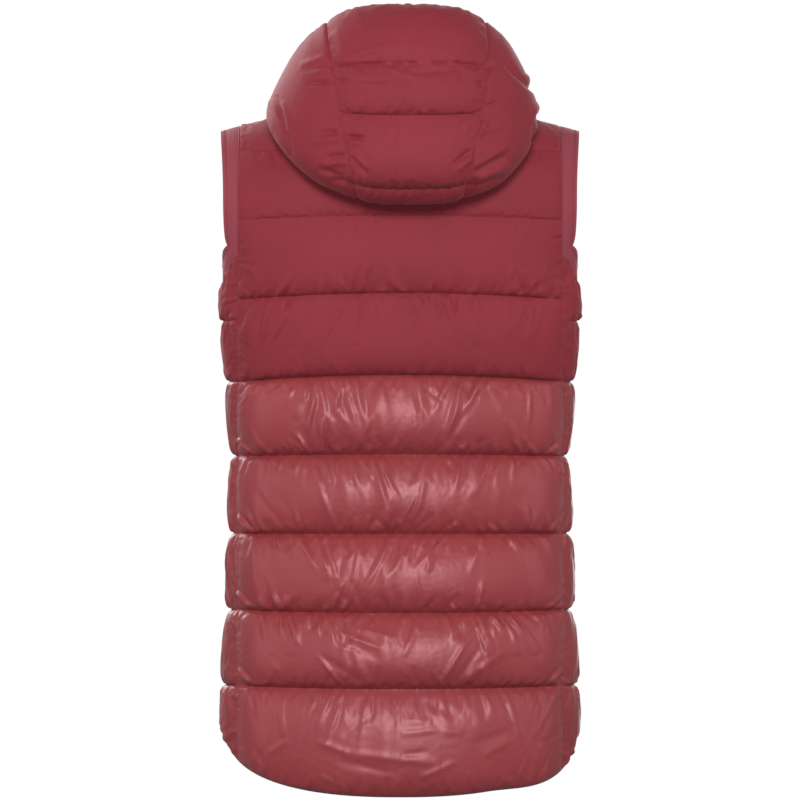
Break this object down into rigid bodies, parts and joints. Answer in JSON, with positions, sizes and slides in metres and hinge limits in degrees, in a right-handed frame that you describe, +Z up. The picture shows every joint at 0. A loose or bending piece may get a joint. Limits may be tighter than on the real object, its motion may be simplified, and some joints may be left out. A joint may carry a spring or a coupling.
{
  "type": "puffer vest",
  "caption": "Hooded quilted puffer vest with a stand collar, a full front zip and a curved hem, standing hollow as when worn.",
  "frame": {"origin": "midway between the shoulders, at the height where the wearer's shoulders carry the vest", "axes": "+Z up, towards the collar; -Y is the front with the zip, +Y the back; +X is the wearer's left"},
  "size_m": [0.4012, 0.3391, 0.8715],
  "materials": {
    "matt_shell": "matt woven nylon, dark red",
    "satin_shell": "satin woven nylon, dark red",
    "zip_tape": "woven zip tape, dark red",
    "zip_metal": "dark metal"
  },
  "bodies": {
    "vest": {"back_yoke": "matt_shell", "back_skirt": "satin_shell", "front_yoke_l": "matt_shell", "front_yoke_r": "matt_shell", "front_skirt_l": "satin_shell", "front_skirt_r": "satin_shell", "side_yoke_l": "matt_shell", "side_yoke_r": "matt_shell", "side_skirt_l": "satin_shell", "side_skirt_r": "satin_shell", "armhole_band_l": "matt_shell", "armhole_band_r": "matt_shell", "collar": "matt_shell", "hood_base": "matt_shell", "hood_middle": "matt_shell", "hood_side_l": "matt_shell", "hood_side_r": "matt_shell", "hood_brim": "matt_shell", "zip_tape_l": "zip_tape", "zip_tape_r": "zip_tape", "zip_teeth": "zip_metal", "zip_slider": "zip_metal"},
    "pull": {"zip_pull": "zip_metal"}
  },
  "joints": [
    {"name": "pull_hinge", "type": "hinge", "parent": "vest", "child": "pull", "pos_m": [0, -0.10281, 0.034], "axis": [1, 0, 0], "range_deg": [-165, 0]}
  ]
}
